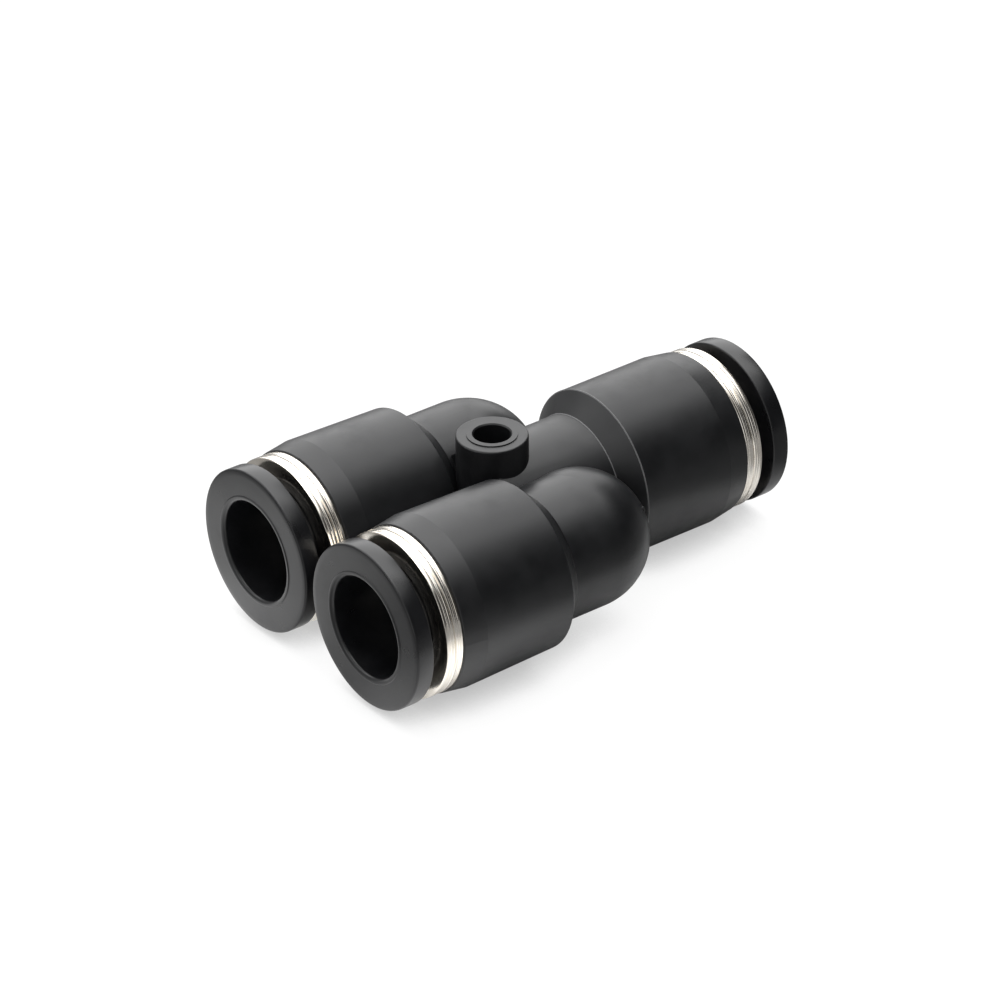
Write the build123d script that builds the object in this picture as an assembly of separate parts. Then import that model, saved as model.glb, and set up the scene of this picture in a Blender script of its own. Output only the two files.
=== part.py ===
from build123d import *
import os
from math import cos, radians, tan

# Push-in union Y for 12 mm tube: two parallel branch ports, a trunk port and a mounting boss.
# Millimetres. The origin lies on the mounting hole's axis, in the plane of the three port axes.
# +Z runs up the mounting hole, +Y out of the trunk port, and the branch ports open towards -Y.
# A depth is measured inwards along a port's axis, from the front face of its release sleeve.

# Tube and passages
tube_od = 12.0
tube_clearance = 0.1
tube_seat_length = 5.9
tube_lead_in = 0.5
flow_bore = 7.2

# Layout round the mounting hole
branch_reach = 26.6
trunk_reach = 36.8
socket_spacing = 0.1
elbow_axis = 4.5
elbow_bend = 0.35
neck_front = 2.0
flow_axis = 7.5

# Body walls and edges
mouth_wall = 1.15
socket_wall = 1.58
run_wall = 2.1
taper_length = 3.0
branch_draft = 0.26
trunk_draft = 0.05
stop_past_shoulder = 1.75
edge_rounding = 0.2
cone_fillet = 0.25
cone_overlap = 0.5
web_height = 5.0

# Mounting boss
boss_od = 8.5
boss_proud = 0.2
mount_hole = 4.4
hole_rounding = 0.15
pad_od = 6.0
pad_height = 0.12

# Release sleeve
sleeve_wall = 1.1
flange_thickness = 2.4
flange_gap = 1.8
flange_rounding = 0.3
lip_rounding = 0.55
bead_height = 0.5
bead_length = 1.2
nose_land = 0.7
stop_gap = 0.1
nose_gap = 0.15

# Retaining ring
sleeve_slide = 0.08
bead_room = 0.15
bead_seat_gap = 0.02
spigot_wall = 1.13
spigot_fit = 0.02
spigot_length = 4.5
collar_width = 2.3
collar_step = 0.15
collar_chamfer = 0.15
lip_length = 2.9
groove_depth = 0.18
groove_width = 0.24
groove_setback = 1.1
barb_count = 3
barb_pitch = 1.1
barb_height = 0.15

# Lock claw
claw_thickness = 0.3
tooth_bite = 0.2
tooth_slope = 40.0
tooth_count = 12
slot_width = 0.8
root_land = 0.25

# Backing ring and seal
tooth_room = 0.4
backing_fit = 0.05
backing_web = 1.2
web_clearance = 0.3
seal_section = 2.5
seal_squeeze = 0.13
seal_fit = 0.03
seal_room = 0.6

# Radii, from the tube outwards
tube_radius = tube_od / 2
bore_radius = tube_radius + tube_clearance
neck_of_sleeve = bore_radius + sleeve_wall
bead_radius = neck_of_sleeve + bead_height
nose_radius = bore_radius + nose_land
ring_bore = neck_of_sleeve + sleeve_slide
ring_recess = bead_radius + bead_room
spigot_radius = ring_recess + spigot_wall
counterbore_radius = spigot_radius + spigot_fit
mouth_radius = counterbore_radius + mouth_wall
collar_radius = mouth_radius - collar_step
socket_radius = counterbore_radius + socket_wall
run_radius = bore_radius + run_wall
flow_radius = flow_bore / 2
seal_inner_radius = tube_radius - seal_squeeze
chamber_radius = seal_inner_radius + seal_section + seal_fit
tooth_tip = tube_radius - tooth_bite

# Depths, from the sleeve's face inwards
ring_front = flange_thickness + flange_gap
mouth_depth = ring_front + collar_width
claw_depth = mouth_depth + spigot_length
backing_depth = claw_depth + claw_thickness
tooth_drop = (ring_recess - tooth_tip) * tan(radians(tooth_slope))
tooth_axial = claw_thickness / cos(radians(tooth_slope))
tooth_heel = (tooth_axial - claw_thickness) / tan(radians(tooth_slope))
web_depth = claw_depth + tooth_drop + tooth_axial + tooth_room
chamber_depth = web_depth + backing_web
seat_depth = chamber_depth + seal_section + seal_room
tube_depth = seat_depth + tube_seat_length
shoulder_depth = tube_depth - stop_past_shoulder

# The sleeve is pressed in until its flange nearly meets the ring
sleeve_travel = flange_gap - stop_gap
bead_depth = ring_front + lip_length + bead_seat_gap
nose_drop = (ring_recess - nose_radius) * tan(radians(tooth_slope))
nose_depth = claw_depth + nose_drop - sleeve_travel - nose_gap

port_pitch = 2 * socket_radius + socket_spacing
boss_half_height = socket_radius + boss_proud

# Each port: the middle of its sleeve's front face, and the way its tube leaves
ports = {
    "left": Plane(origin=(-port_pitch / 2, -branch_reach, 0), x_dir=(1, 0, 0), z_dir=(0, -1, 0)),
    "right": Plane(origin=(port_pitch / 2, -branch_reach, 0), x_dir=(1, 0, 0), z_dir=(0, -1, 0)),
    "trunk": Plane(origin=(0, trunk_reach, 0), x_dir=(-1, 0, 0), z_dir=(0, 1, 0)),
}


def turned(*corners):
    """A solid turned about Z. Each corner of its half section is (radius, depth, rounding)."""
    points = [(radius, 0, -depth) for radius, depth, rounding in corners]
    roundings = [rounding for radius, depth, rounding in corners]
    outline = FilletPolyline(*points, radius=roundings, close=True)
    return revolve(make_face(outline), axis=Axis.Z)


def rod(radius, start, end):
    """A straight round bar from start to end."""
    run = Vector(*end) - Vector(*start)
    bar = Cylinder(radius, run.length, align=(Align.CENTER, Align.CENTER, Align.MIN))
    return Plane(origin=start, z_dir=run) * bar


def elbow_corner(radius, bend):
    """The outside of the leg's quarter turn about Z, from +X round to +Y."""
    section = Pos(bend, 0) * Circle(radius)
    outside = Rectangle(radius + bend, 2 * radius, align=(Align.MIN, Align.CENTER))
    return revolve(Plane.XZ * (section & outside), axis=Axis.Z, revolution_arc=90)


def leg():
    """Outside of the right leg, from its socket: it ends in a round knuckle, a little inwards."""
    turn_x = port_pitch / 2 - elbow_bend
    turn_y = elbow_axis - elbow_bend
    straight = rod(run_radius, (port_pitch / 2, -branch_reach + shoulder_depth, 0), (port_pitch / 2, turn_y, 0))
    turn = Pos(turn_x, turn_y) * elbow_corner(run_radius, elbow_bend)
    knuckle = Pos(turn_x, elbow_axis) * Sphere(run_radius)
    return straight + turn + knuckle


def flow_passage():
    """From both branch tubes' ends across behind the boss, and out along the trunk."""
    branch_stop = -branch_reach + tube_depth
    corner = (port_pitch / 2, flow_axis, 0)
    half = rod(flow_radius, (port_pitch / 2, branch_stop, 0), corner)
    half += Pos(corner) * Sphere(flow_radius)
    half += rod(flow_radius, (0, flow_axis, 0), corner)
    trunk = rod(flow_radius, (0, flow_axis, 0), (0, trunk_reach - tube_depth, 0))
    return half + mirror(half, about=Plane.YZ) + trunk


def socket_outside(draft):
    """One socket: tapered towards its mouth, drafted towards its shoulder, with a cone down to the run."""
    shoulder_radius = socket_radius - draft
    cone_end = shoulder_depth + shoulder_radius - run_radius
    return turned(
        (0, mouth_depth, 0),
        (mouth_radius, mouth_depth, edge_rounding),
        (socket_radius, mouth_depth + taper_length, 0),
        (shoulder_radius, shoulder_depth, edge_rounding),
        (run_radius, cone_end, cone_fillet),
        (run_radius, cone_end + cone_overlap, 0),
        (0, cone_end + cone_overlap, 0),
    )


def socket_inside():
    """Counterbore for the ring, claw and backing ring, then the seal's chamber and the tube's seat."""
    return turned(
        (0, ring_front, 0),
        (counterbore_radius, ring_front, 0),
        (counterbore_radius, chamber_depth, 0),
        (chamber_radius, chamber_depth, 0),
        (chamber_radius, seat_depth, 0),
        (bore_radius + tube_lead_in, seat_depth, 0),
        (bore_radius, seat_depth + tube_lead_in, 0),
        (bore_radius, tube_depth, 0),
        (0, tube_depth, 0),
    )


def boss():
    """Mounting boss: a pillar a little taller than the sockets, with a raised pad on its top."""
    post = Cylinder(boss_od / 2, 2 * boss_half_height)
    post = fillet(post.edges().filter_by(GeomType.CIRCLE), edge_rounding)
    pad_middle = boss_half_height + pad_height / 2 - edge_rounding / 2
    pad = Pos(0, 0, pad_middle) * Cylinder(pad_od / 2, pad_height + edge_rounding)
    return post + pad


def boss_hole():
    """The through hole, with its two rims rounded off."""
    top = boss_half_height + pad_height
    bottom = -boss_half_height
    rim = mount_hole / 2 + hole_rounding
    drill = rod(mount_hole / 2, (0, 0, bottom), (0, 0, top))
    top_rim = Pos(0, 0, top - hole_rounding / 2) * Cone(mount_hole / 2, rim, hole_rounding)
    bottom_rim = Pos(0, 0, bottom + hole_rounding / 2) * Cone(rim, mount_hole / 2, hole_rounding)
    return drill + top_rim + bottom_rim


def socket_web():
    """The web along the valley between the two branch sockets, from their tapers to the boss."""
    front = -branch_reach + mouth_depth + taper_length
    return Pos(0, front / 2) * Box(port_pitch, -front, web_height)


def body():
    """The moulded body, with its three sockets and the passage that joins them."""
    shell = rod(run_radius, (0, -neck_front, 0), (0, trunk_reach - shoulder_depth, 0))
    shell += leg()
    shell += mirror(leg(), about=Plane.YZ)
    shell += ports["left"] * socket_outside(branch_draft)
    shell += ports["right"] * socket_outside(branch_draft)
    shell += ports["trunk"] * socket_outside(trunk_draft)
    shell += socket_web()
    shell += boss()
    shell -= flow_passage()
    for port in ports.values():
        shell -= port * socket_inside()
    return shell - boss_hole()


def release_sleeve():
    """Flanged sleeve that the tube passes through: its bead holds it behind the ring's lip."""
    return turned(
        (bore_radius, 0, lip_rounding),
        (collar_radius, 0, flange_rounding),
        (collar_radius, flange_thickness, edge_rounding),
        (neck_of_sleeve, flange_thickness, 0),
        (neck_of_sleeve, bead_depth, 0),
        (bead_radius, bead_depth, 0),
        (bead_radius, bead_depth + bead_length, 0),
        (nose_radius, nose_depth, 0),
        (bore_radius, nose_depth, 0),
    )


def retaining_ring():
    """Turned ring: a grooved collar that seats on the mouth, and a barbed spigot in the body."""
    groove = ring_front + groove_setback
    barbs = []
    for count in range(barb_count):
        back = claw_depth - count * barb_pitch
        barbs.append((spigot_radius - barb_height, back, 0))
        barbs.append((spigot_radius, back - barb_pitch, 0))
    return turned(
        (ring_bore, ring_front, 0),
        (collar_radius - collar_chamfer, ring_front, 0),
        (collar_radius, ring_front + collar_chamfer, 0),
        (collar_radius, groove - groove_width / 2, 0),
        (collar_radius - groove_depth, groove, 0),
        (collar_radius, groove + groove_width / 2, 0),
        (collar_radius, mouth_depth, 0),
        (spigot_radius, mouth_depth, 0),
        *reversed(barbs),
        (ring_recess, claw_depth, 0),
        (ring_recess, ring_front + lip_length, 0),
        (ring_bore, ring_front + lip_length, 0),
    )


def lock_claw():
    """Spring steel washer whose ring of teeth slopes inwards and bites the tube."""
    tip_front = claw_depth + tooth_drop
    washer = turned(
        (counterbore_radius - backing_fit, claw_depth, 0),
        (ring_recess, claw_depth, 0),
        (tooth_tip, tip_front, 0),
        (tooth_tip, tip_front + tooth_axial, 0),
        (ring_recess + tooth_heel, backing_depth, 0),
        (counterbore_radius - backing_fit, backing_depth, 0),
    )
    slot_end = ring_recess - root_land
    slot = Box(slot_end, slot_width, 2 * web_depth, align=(Align.MIN, Align.CENTER, Align.CENTER))
    for count in range(tooth_count):
        washer -= Rot(0, 0, 360 * count / tooth_count) * slot
    return washer


def backing_ring():
    """Spacer behind the claw: its rim clamps the claw, and its web keeps the seal in its chamber."""
    rim_radius = counterbore_radius - backing_fit
    relief_radius = ring_recess + tooth_heel + backing_fit
    return turned(
        (relief_radius, backing_depth, 0),
        (rim_radius, backing_depth, 0),
        (rim_radius, chamber_depth, 0),
        (bore_radius + web_clearance, chamber_depth, 0),
        (bore_radius + web_clearance, web_depth, 0),
        (relief_radius, web_depth, 0),
    )


def seal():
    """O-ring against the floor of its chamber."""
    section_radius = seal_section / 2
    ring = Torus(seal_inner_radius + section_radius, section_radius)
    return Pos(0, 0, -(seat_depth - section_radius - seal_fit)) * ring


port_pieces = {
    "release_sleeve": release_sleeve(),
    "retaining_ring": retaining_ring(),
    "lock_claw": lock_claw(),
    "backing_ring": backing_ring(),
    "seal": seal(),
}

os.makedirs("parts", exist_ok=True)
export_step(body(), "parts/body.step")
for port_name, port in ports.items():
    for piece_name, piece in port_pieces.items():
        export_step(port * piece, f"parts/{piece_name}_{port_name}.step")
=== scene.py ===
import math

import bpy
from mathutils import Matrix, Vector


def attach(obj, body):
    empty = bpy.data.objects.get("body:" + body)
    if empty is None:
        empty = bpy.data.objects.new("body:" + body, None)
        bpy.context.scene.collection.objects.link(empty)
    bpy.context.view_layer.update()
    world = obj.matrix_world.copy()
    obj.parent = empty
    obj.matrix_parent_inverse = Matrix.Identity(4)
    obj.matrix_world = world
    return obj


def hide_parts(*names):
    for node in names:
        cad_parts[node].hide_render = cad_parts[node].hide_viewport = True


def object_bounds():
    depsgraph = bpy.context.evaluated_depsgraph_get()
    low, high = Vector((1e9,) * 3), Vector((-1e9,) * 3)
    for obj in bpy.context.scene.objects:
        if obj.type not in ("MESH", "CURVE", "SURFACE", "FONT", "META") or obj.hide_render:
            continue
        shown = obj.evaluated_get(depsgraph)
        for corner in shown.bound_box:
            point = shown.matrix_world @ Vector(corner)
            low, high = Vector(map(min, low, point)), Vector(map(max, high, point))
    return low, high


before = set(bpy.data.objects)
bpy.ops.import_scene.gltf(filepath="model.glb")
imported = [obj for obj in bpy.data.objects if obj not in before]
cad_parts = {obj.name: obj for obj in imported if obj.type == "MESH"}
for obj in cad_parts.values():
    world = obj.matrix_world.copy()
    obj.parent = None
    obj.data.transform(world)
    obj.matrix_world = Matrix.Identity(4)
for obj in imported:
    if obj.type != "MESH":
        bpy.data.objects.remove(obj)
cad_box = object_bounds()

MM = 0.001

# Each port: the middle of its sleeve's front face, and which way along Y is inwards
PORTS = {
    "left": (-10.63 * MM, -26.6 * MM, 1),
    "right": (10.63 * MM, -26.6 * MM, 1),
    "trunk": (0.0, 36.8 * MM, -1),
}

# Camera: its place in metres, how it is turned in degrees, and its lens and film in millimetres
CAMERA_PLACE = (0.40805, -0.31135, 0.30639)
CAMERA_AZIMUTH, CAMERA_ELEVATION, CAMERA_ROLL = 52.564, 30.675, -0.734
LENS, FILM_WIDTH = 184.86, 36
NEAREST_SEEN = 0.01

# Panels of light: azimuth of the middle, half width, lower and upper edge (degrees), and strength
PANELS = (
    (142, 181, 68, 95, 3.6),
    (120, 45, 50, 68, 3.4),
    (188, 23, 50, 68, 2.0),
    (30, 45, 50, 68, 1.5),
    (165, 45, 30, 50, 2.75),
    (255, 45, 30, 50, 1.9),
    (142, 23, -5, 30, 2.2),
    (255, 90, -5, 30, 0.45),
    (-37, 23, -5, 50, 0.35),
)
# How soft their edges are (degrees), and the light of the rest of the room
PANEL_SOFTNESS = 4
DIM_ROOM = 0.04

# Floor: its size, the oval round the fitting (middle along Y, half width, half length), all in
# metres, and the ways from its middle to the front and to the left
FLOOR_SIZE = 6
OVAL_MIDDLE, OVAL_HALF_WIDTH, OVAL_HALF_LENGTH = 0.003, 0.031, 0.034
TO_FRONT, TO_LEFT = (0.79, -0.61, 0), (-0.75, -0.66, 0)

# Turned pieces: how many corners a circle has, and how near points are when they are joined
AROUND = 192
JOIN_WITHIN = 0.001 * MM

WHITE = (1, 1, 1, 1)


# ---------------------------------------------------------------- camera

def place_camera():
    """Long lens at the photograph's viewing angle."""
    azimuth = Matrix.Rotation(math.radians(CAMERA_AZIMUTH), 4, "Z")
    tilt = Matrix.Rotation(math.radians(90 - CAMERA_ELEVATION), 4, "X")
    roll = Matrix.Rotation(math.radians(CAMERA_ROLL), 4, "Z")
    lens = bpy.data.cameras.new("product_lens")
    lens.sensor_width = FILM_WIDTH
    lens.lens = LENS
    lens.clip_start = NEAREST_SEEN
    camera = bpy.data.objects.new("product_camera", lens)
    camera.matrix_world = Matrix.Translation(CAMERA_PLACE) @ azimuth @ tilt @ roll
    bpy.context.scene.collection.objects.link(camera)
    bpy.context.scene.camera = camera


# ---------------------------------------------------------------- node helpers

def add(tree, kind, inputs=None, **settings):
    """Adds a shader node. An input's value is a number, a colour or another node's output."""
    node = tree.nodes.new("ShaderNode" + kind)
    for name, value in settings.items():
        setattr(node, name, value)
    for name, value in (inputs or {}).items():
        if isinstance(value, bpy.types.NodeSocket):
            tree.links.new(value, node.inputs[name])
        else:
            node.inputs[name].default_value = value
    return node


def maths(tree, operation, *values):
    return add(tree, "Math", dict(enumerate(values)), operation=operation).outputs[0]


def times(tree, first, second):
    return maths(tree, "MULTIPLY", first, second)


def plus(tree, first, second):
    return maths(tree, "ADD", first, second)


def remap(tree, value, low, high, to_low, to_high):
    """Takes low..high of a value to to_low..to_high, and holds it there beyond."""
    node = add(tree, "MapRange", {"Value": value, "From Min": low, "From Max": high,
                                  "To Min": to_low, "To Max": to_high})
    return node.outputs["Result"]


def blend(tree, factor, first, second):
    """Goes from one value to another. The mix node's sockets are told apart by their order."""
    return add(tree, "Mix", {0: factor, 2: first, 3: second}, data_type="FLOAT").outputs[0]


def blend_colour(tree, factor, first, second):
    return add(tree, "Mix", {0: factor, 6: first, 7: second}, data_type="RGBA").outputs[2]


def noise(tree, place, per_metre, detail=3.0, rough=0.55, stretch=(1, 1, 1)):
    """Noise with features about 1 / per_metre apart. A stretch below 1 draws them out along
    that axis."""
    mapping = add(tree, "Mapping", {"Vector": place, "Scale": stretch})
    field = add(tree, "TexNoise", {"Vector": mapping.outputs["Vector"], "Scale": per_metre,
                                   "Detail": detail, "Roughness": rough})
    return field.outputs["Fac"]


def bump(tree, height, distance, strength, under=None):
    """Bumps of a height in metres, on top of other bumps where under is given."""
    inputs = {"Height": height, "Distance": distance, "Strength": strength}
    if under is not None:
        inputs["Normal"] = under
    return add(tree, "Bump", inputs).outputs["Normal"]


def new_finish(name):
    """An empty material, its node tree, and the coordinates of the piece that it is on."""
    finish = bpy.data.materials.new(name)
    finish.use_nodes = True
    tree = finish.node_tree
    tree.nodes.clear()
    return finish, tree, add(tree, "TexCoord").outputs["Object"]


def surface(tree, inputs):
    """The principled shader, joined to the material's output."""
    shader = add(tree, "BsdfPrincipled", inputs)
    add(tree, "OutputMaterial", {"Surface": shader.outputs["BSDF"]})


# ---------------------------------------------------------------- finishes

def moulded_black(name, dark, light, smooth, rough, grain):
    """Black moulded plastic: spark-eroded grain, faint ripple, handling smudges."""
    finish, tree, place = new_finish(name)
    mottle = noise(tree, place, 260, 4)
    fine = noise(tree, place, 5200, 2)
    ripple = noise(tree, place, 90, 1)
    smudge = noise(tree, place, 150, 5, 0.7)
    dulled = remap(tree, smudge, 0.52, 0.68, 0, 0.07)
    rippled = bump(tree, ripple, 0.05 * MM, 0.6)
    surface(tree, {
        "Base Color": blend_colour(tree, remap(tree, mottle, 0.35, 0.65, 0, 1), dark, light),
        "Roughness": plus(tree, remap(tree, mottle, 0.3, 0.7, smooth, rough), dulled),
        "Specular IOR Level": 0.5,
        "Normal": bump(tree, fine, 0.008 * MM, grain, rippled),
    })
    return finish


def nickel_plate():
    """Bright nickel over turned brass: fine tool lines round the port's axis, a warm tinge."""
    finish, tree, place = new_finish("nickel_plate")
    lines = noise(tree, place, 9000, 2, stretch=(0.004, 1, 0.004))
    bands = noise(tree, place, 2200, 1, stretch=(0.01, 1, 0.01))
    stain = remap(tree, noise(tree, place, 420, 4), 0.35, 0.7, 0, 1)
    surface(tree, {
        "Base Color": blend_colour(tree, stain, (0.93, 0.89, 0.82, 1), (0.85, 0.79, 0.70, 1)),
        "Metallic": 1.0,
        "Roughness": remap(tree, bands, 0.3, 0.7, 0.14, 0.26),
        "Normal": bump(tree, lines, 0.012 * MM, 0.6),
    })
    return finish


def spring_steel():
    """Cold-rolled steel strip with a faint straw tint."""
    finish, tree, place = new_finish("spring_steel")
    roll = noise(tree, place, 5200, 2, stretch=(1, 1, 0.02))
    tint = noise(tree, place, 500, 2)
    surface(tree, {
        "Base Color": blend_colour(tree, tint, (0.62, 0.62, 0.63, 1), (0.7, 0.66, 0.58, 1)),
        "Metallic": 1.0,
        "Roughness": remap(tree, roll, 0.3, 0.7, 0.22, 0.34),
        "Normal": bump(tree, roll, 0.006 * MM, 0.5),
    })
    return finish


def natural_acetal():
    """Milky white acetal."""
    finish, tree, place = new_finish("natural_acetal")
    cloud = noise(tree, place, 400, 3)
    surface(tree, {
        "Base Color": blend_colour(tree, cloud, (0.76, 0.75, 0.71, 1), (0.86, 0.85, 0.81, 1)),
        "Roughness": remap(tree, cloud, 0.3, 0.7, 0.28, 0.4),
        "Normal": bump(tree, cloud, 0.01 * MM, 0.4),
    })
    return finish


def nitrile():
    """Black nitrile rubber with a moulded bloom."""
    finish, tree, place = new_finish("nitrile")
    bloom = noise(tree, place, 1500, 3)
    surface(tree, {
        "Base Color": blend_colour(tree, bloom, (0.012, 0.012, 0.012, 1), (0.03, 0.03, 0.03, 1)),
        "Roughness": remap(tree, bloom, 0.3, 0.7, 0.42, 0.6),
        "Normal": bump(tree, bloom, 0.008 * MM, 0.5),
    })
    return finish


# ---------------------------------------------------------------- studio

def panel(tree, azimuth, height, middle, half_width, low, high, strength):
    """A soft-edged panel of light round the room, in degrees: where it is centred, how far it
    reaches to either side, and the heights of its edges above the horizon."""
    soft = math.radians(PANEL_SOFTNESS)
    half_width, low, high = math.radians(half_width), math.radians(low), math.radians(high)
    away = maths(tree, "SUBTRACT", azimuth, math.radians(middle))
    away = maths(tree, "ABSOLUTE", maths(tree, "WRAP", away, math.pi, -math.pi))
    sides = remap(tree, away, half_width - soft, half_width + soft, strength, 0)
    bottom = remap(tree, height, low - soft, low + soft, 0, 1)
    top = remap(tree, height, high - soft, high + soft, 1, 0)
    return times(tree, sides, times(tree, bottom, top))


def white_studio():
    """Plain white where the camera sees it. It lights the fitting with soft panels overhead, behind
    and on the left, and is dim on the right."""
    world = bpy.data.worlds.new("white_studio")
    world.use_nodes = True
    tree = world.node_tree
    tree.nodes.clear()
    direction = add(tree, "TexCoord").outputs["Generated"]
    x, y, z = add(tree, "SeparateXYZ", {0: direction}).outputs
    azimuth = maths(tree, "ARCTAN2", y, x)
    height = maths(tree, "ARCSINE", z)
    light = DIM_ROOM
    for placed in PANELS:
        light = plus(tree, light, panel(tree, azimuth, height, *placed))
    path = add(tree, "LightPath").outputs
    seen = maths(tree, "MAXIMUM", path["Is Camera Ray"], path["Is Transmission Ray"])
    sky = add(tree, "Background", {"Color": WHITE, "Strength": blend(tree, seen, light, 1.0)})
    add(tree, "OutputWorld", {"Surface": sky.outputs["Background"]})
    bpy.context.scene.world = world


def white_floor():
    """White sheet under the fitting. The camera sees it white, with a soft painted shadow where the
    fitting stands. What the fitting mirrors of it is painted darker away from it, a painted shade,
    and has glowing patches painted in front and on the left for the fitting's sides to reflect."""
    finish, tree, place = new_finish("white_sheet")
    oval = add(tree, "Mapping", {
        "Vector": place,
        "Location": (0, -OVAL_MIDDLE / OVAL_HALF_LENGTH, 0),
        "Scale": (1 / OVAL_HALF_WIDTH, 1 / OVAL_HALF_LENGTH, 0),
    }).outputs["Vector"]
    # how far out a point lies, as a share of the oval, and how much to the front and to the left
    away = add(tree, "VectorMath", {0: oval}, operation="LENGTH").outputs["Value"]
    outwards = add(tree, "VectorMath", {0: oval}, operation="NORMALIZE").outputs["Vector"]
    front = add(tree, "VectorMath", {0: outwards, 1: TO_FRONT}, operation="DOT_PRODUCT")
    left = add(tree, "VectorMath", {0: outwards, 1: TO_LEFT}, operation="DOT_PRODUCT")
    seen = add(tree, "LightPath").outputs["Is Camera Ray"]

    # the sheet's grey, one for what mirrors it and one for the camera; what mirrors it is painted
    # darker away from the fitting, a painted shade
    grey = blend(tree, seen, remap(tree, away, 1.0, 1.3, 0.82, 0.2), 0.14)
    colour = add(tree, "CombineColor", {0: grey, 1: grey, 2: grey}).outputs[0]
    matt = add(tree, "BsdfDiffuse", {"Color": colour})

    # the camera's white, with a painted shadow: darker where little of the sky is open
    open_sky = add(tree, "AmbientOcclusion", {"Distance": 6 * MM}, samples=8).outputs["AO"]
    white = remap(tree, open_sky, 0.12, 0.6, 0.47, 0.9)

    # glowing patches painted in front and on the left, seen only in what mirrors the sheet: painted
    # light which the fitting's sides mirror
    front_painted_glow = times(tree, remap(tree, front.outputs["Value"], 0.72, 0.95, 0, 0.8),
                        remap(tree, away, 1.6, 2.0, 1, 0))
    front_painted_glow = times(tree, front_painted_glow, remap(tree, away, 0.75, 1.0, 0, 1))
    left_painted_glow = times(tree, remap(tree, left.outputs["Value"], 0.72, 0.97, 0, 1.0),
                       remap(tree, away, 1.7, 2.3, 1, 0))
    # emission: the painted glow patches for what mirrors the sheet, the white with its painted
    # shadow for the camera
    glow = blend(tree, seen, plus(tree, front_painted_glow, left_painted_glow), white)
    lit = add(tree, "Emission", {"Color": WHITE, "Strength": glow})

    both = add(tree, "AddShader", {0: matt.outputs[0], 1: lit.outputs[0]})
    add(tree, "OutputMaterial", {"Surface": both.outputs[0]})
    bpy.ops.mesh.primitive_plane_add(size=FLOOR_SIZE, location=(0, 0, cad_box[0].z))
    floor = bpy.context.object
    floor.name = "floor"
    floor.data.materials.append(finish)


# ---------------------------------------------------------------- turning

def deselect_all():
    if bpy.context.mode != "OBJECT":
        bpy.ops.object.mode_set(mode="OBJECT")
    bpy.ops.object.select_all(action="DESELECT")


def finish_edit(smooth_below):
    """Joins what meets, turns the faces outwards, leaves edit mode, and shades edges smooth
    below an angle in degrees."""
    bpy.ops.mesh.select_all(action="SELECT")
    bpy.ops.mesh.remove_doubles(threshold=JOIN_WITHIN)
    bpy.ops.mesh.normals_make_consistent(inside=False)
    bpy.ops.object.mode_set(mode="OBJECT")
    bpy.ops.object.transform_apply(location=True, rotation=True, scale=True)
    bpy.ops.object.shade_smooth_by_angle(angle=math.radians(smooth_below))


def turn(name, port, corners):
    """Turns a closed section round a port's axis. Each corner is (radius, depth) in millimetres."""
    x, face_y, inwards = PORTS[port]
    deselect_all()
    radius, depth = corners[0]
    bpy.ops.mesh.primitive_circle_add(vertices=AROUND, radius=radius * MM, fill_type="NOTHING",
                                      location=(x, face_y + inwards * depth * MM, 0),
                                      rotation=(math.radians(90), 0, 0))
    piece = bpy.context.object
    piece.name = name
    bpy.ops.object.mode_set(mode="EDIT")
    bpy.ops.mesh.select_all(action="SELECT")
    for next_radius, next_depth in corners[1:] + corners[:1]:
        step = inwards * (next_depth - depth) * MM
        bpy.ops.mesh.extrude_edges_move(TRANSFORM_OT_translate={"value": (0, step, 0)})
        grow = next_radius / radius
        bpy.ops.transform.resize(value=(grow, 1, grow))
        radius, depth = next_radius, next_depth
    finish_edit(32)
    return piece


def at_each_port(name, section, finish):
    """Turns a piece at the right port and copies it, with its own mesh, to the other two."""
    x, face_y, inwards = PORTS["right"]
    first = turn(name + "_right", "right", section)
    first.data.materials.append(finish)
    pieces = {"right": first}
    for port in ("left", "trunk"):
        to_x, to_y, to_inwards = PORTS[port]
        deselect_all()
        first.select_set(True)
        bpy.context.view_layer.objects.active = first
        bpy.ops.object.duplicate()
        copy = bpy.context.object
        copy.name = name + "_" + port
        to_origin = Matrix.Translation((-x, -face_y, 0))
        facing = Matrix.Rotation(0 if to_inwards == inwards else math.pi, 4, "Z")
        copy.matrix_world = Matrix.Translation((to_x, to_y, 0)) @ facing @ to_origin
        bpy.ops.object.transform_apply(location=True, rotation=True, scale=True)
        pieces[port] = copy
    return pieces


def rounding(radius, depth, size, start, stop, steps=5):
    """Points on an arc round (radius, depth), from angle start to angle stop in degrees: 0 is
    away from the axis, 90 is out of the port."""
    points = []
    for count in range(steps + 1):
        angle = math.radians(start + (stop - start) * count / steps)
        points.append((radius + size * math.cos(angle), depth - size * math.sin(angle)))
    return points


# ---------------------------------------------------------------- pieces

def sleeve_section():
    """The release sleeve: flange with a raised lip round the bore, neck, bead and tapered nose."""
    bore, neck, bead, nose, flange = 6.1, 7.2, 7.7, 6.8, 10.0
    back, bead_front, bead_back, end = 2.4, 7.12, 8.32, 10.03
    mouth_round, lip, lip_round, lip_foot = 0.5, 0.62, 0.07, 0.12
    face, face_margin, rim, rim_round, back_round = 0.1, 0.8, 0.38, 0.26, 0.2
    neck_bevel, bead_bevel, end_bevel = 0.1, 0.08, 0.15
    section = rounding(bore + mouth_round, mouth_round, mouth_round, 180, 100)
    section += rounding(bore + lip, lip_round, lip_round, 90, 20, 3)
    section += [(bore + lip + lip_foot, face - 0.01), (flange - face_margin, face)]
    section += rounding(flange - rim_round, rim, rim_round, 85, 0)
    section += rounding(flange - back_round, back - back_round, back_round, 0, -90, 4)
    section += [(neck + neck_bevel, back), (neck, back + neck_bevel), (neck, bead_front)]
    section += [(bead - bead_bevel, bead_front), (bead, bead_front + bead_bevel)]
    section += [(bead, bead_back), (nose, end), (bore + end_bevel, end), (bore, end - end_bevel)]
    return section


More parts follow.
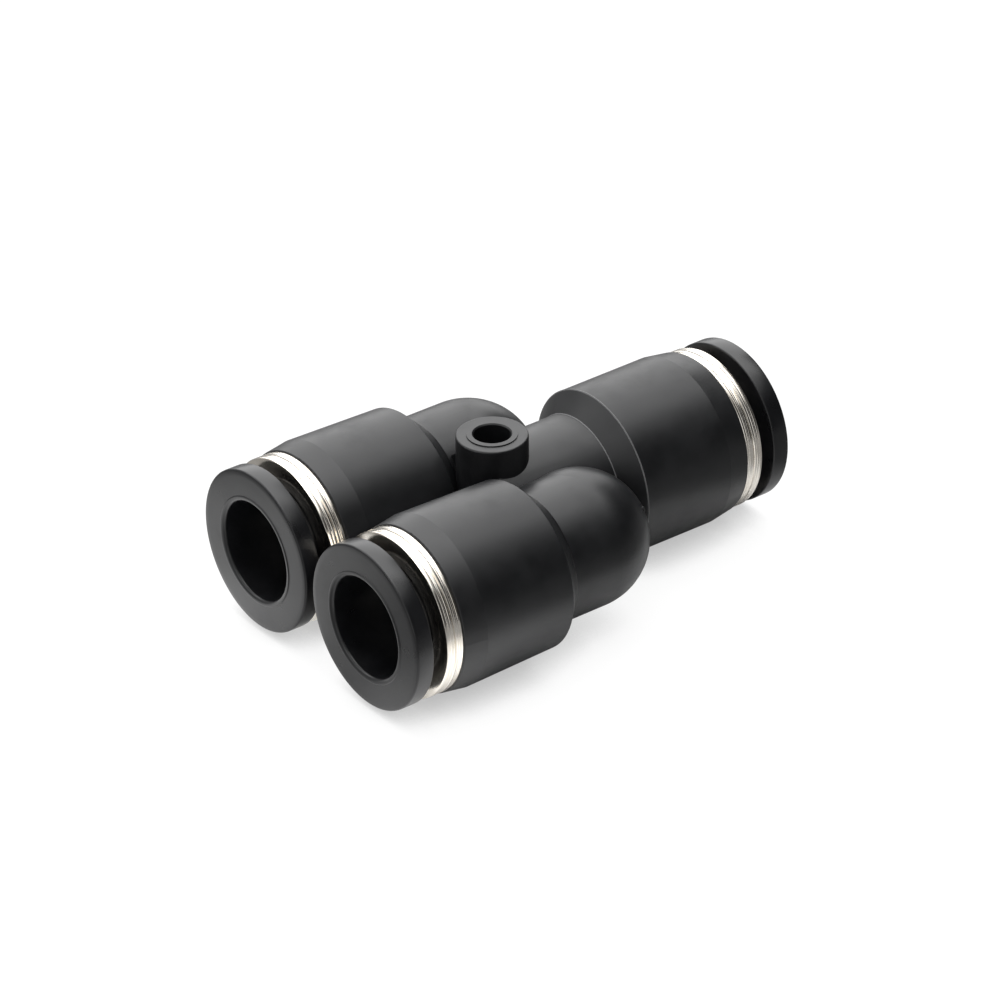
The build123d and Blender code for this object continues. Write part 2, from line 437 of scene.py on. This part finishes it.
def ring_section():
    """The retaining ring: grooved collar with tool lines, and a barbed spigot in the body."""
    collar, bore, recess, spigot = 10.0, 7.28, 7.85, 8.98
    front, recess_front, mouth, back = 4.2, 7.1, 6.5, 11.0
    barb_length, barb_height, bore_bevel = 1.1, 0.15, 0.1
    # grooves in the collar: depth of the middle, half width, and how deep each is cut
    grooves = ((4.62, 0.035, 0.022), (4.80, 0.03, 0.016), (5.02, 0.045, 0.035), (5.40, 0.13, 0.17),
               (5.74, 0.03, 0.018), (5.95, 0.03, 0.016), (6.14, 0.04, 0.03))
    section = [(bore + bore_bevel, front), (collar - 0.16, front)]
    section += [(collar - 0.05, front + 0.05), (collar, front + 0.15)]
    for middle, half_width, cut in grooves:
        section += [(collar, middle - half_width), (collar - cut, middle)]
        section += [(collar, middle + half_width)]
    section += [(collar, mouth - 0.12), (collar - 0.08, mouth), (spigot, mouth)]
    for barbs_left in (3, 2, 1):
        tip = back - barbs_left * barb_length
        section += [(spigot, tip), (spigot - barb_height, tip + barb_length)]
    section += [(recess, back), (recess, recess_front), (bore, recess_front)]
    section += [(bore, front + bore_bevel)]
    return section


def release_sleeves(finish):
    for port, piece in at_each_port("turned_sleeve", sleeve_section(), finish).items():
        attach(piece, "sleeve_" + port)
        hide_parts("release_sleeve_" + port)


def retaining_rings(finish):
    for port, ring in at_each_port("turned_ring", ring_section(), finish).items():
        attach(ring, "fitting")
        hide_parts("retaining_ring_" + port)


def witness_lines(finish):
    """The thin raised lines that the mould's joints leave at both edges of the trunk's cone,
    coloured a pale grey that is a painted highlight along those edges.
    """
    sunk, half_crest, front_foot, back_foot = 0.15, 0.03, 0.08, 0.1
    for name, radius, depth in (("cone_edge_line", 10.56, 21.97), ("cone_foot_line", 8.29, 24.29)):
        line = turn(name, "trunk", [
            (radius - sunk, depth - front_foot), (radius, depth - half_crest),
            (radius, depth + half_crest), (radius - sunk, depth + back_foot)])
        line.data.materials.append(finish)
        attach(line, "fitting")


def gate_stub(finish):
    """What is left of the moulding gate: a small broken-off stub on the right leg's knuckle."""
    knuckle, knuckle_radius = Vector((10.28, 4.5, 0)), 8.2
    out = Vector((0.53, 0.73, 0.44)).normalized()
    stub_radius, stub_height, lift = 0.28, 0.4, 0.02
    # its broken top, a crown with a pit in it: how far in each goes, and how far up
    broken_top = ((0.07, 0.05), (0.09, -0.04))
    deselect_all()
    bpy.ops.mesh.primitive_cylinder_add(vertices=20, radius=stub_radius * MM, depth=stub_height * MM,
                                        location=(knuckle + out * (knuckle_radius + lift)) * MM,
                                        rotation=out.to_track_quat("Z", "Y").to_euler())
    stub = bpy.context.object
    stub.name = "gate_stub"
    bpy.ops.object.mode_set(mode="EDIT")
    bpy.ops.mesh.select_mode(type="FACE")
    bpy.ops.mesh.select_all(action="DESELECT")
    bpy.ops.object.mode_set(mode="OBJECT")
    top = max(stub.data.polygons, key=lambda face: face.center.z)
    top.select = True
    bpy.ops.object.mode_set(mode="EDIT")
    for inset, rise in broken_top:
        bpy.ops.mesh.inset(thickness=inset * MM)
        bpy.ops.transform.translate(value=out * rise * MM)
    finish_edit(50)
    stub.data.materials.append(finish)
    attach(stub, "fitting")


# ---------------------------------------------------------------- scene

bpy.context.scene.view_settings.view_transform = "Standard"
place_camera()
white_studio()
white_floor()

black_pbt = moulded_black("black_pbt", (0.006, 0.0063, 0.0072, 1), (0.010, 0.0103, 0.0115, 1),
                          smooth=0.34, rough=0.42, grain=0.5)
black_acetal = moulded_black("black_acetal", (0.005, 0.0052, 0.006, 1), (0.008, 0.0082, 0.0095, 1),
                             smooth=0.26, rough=0.34, grain=0.25)
# pale grey plastic for the lines round the trunk's cone: a painted highlight along those edges
painted_highlight = moulded_black("black_pbt_flash", (0.14, 0.14, 0.143, 1), (0.2, 0.2, 0.204, 1),
                      smooth=0.3, rough=0.4, grain=0.2)
nickel = nickel_plate()

finish_of = {
    "body": black_pbt,
    "release_sleeve": black_acetal,
    "retaining_ring": nickel,
    "lock_claw": spring_steel(),
    "backing_ring": natural_acetal(),
    "seal": nitrile(),
}
for node_name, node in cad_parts.items():
    kind = node_name if node_name == "body" else node_name.rsplit("_", 1)[0]
    node.data.materials.clear()
    node.data.materials.append(finish_of[kind])

release_sleeves(black_acetal)
retaining_rings(nickel)
witness_lines(painted_highlight)
gate_stub(black_pbt)
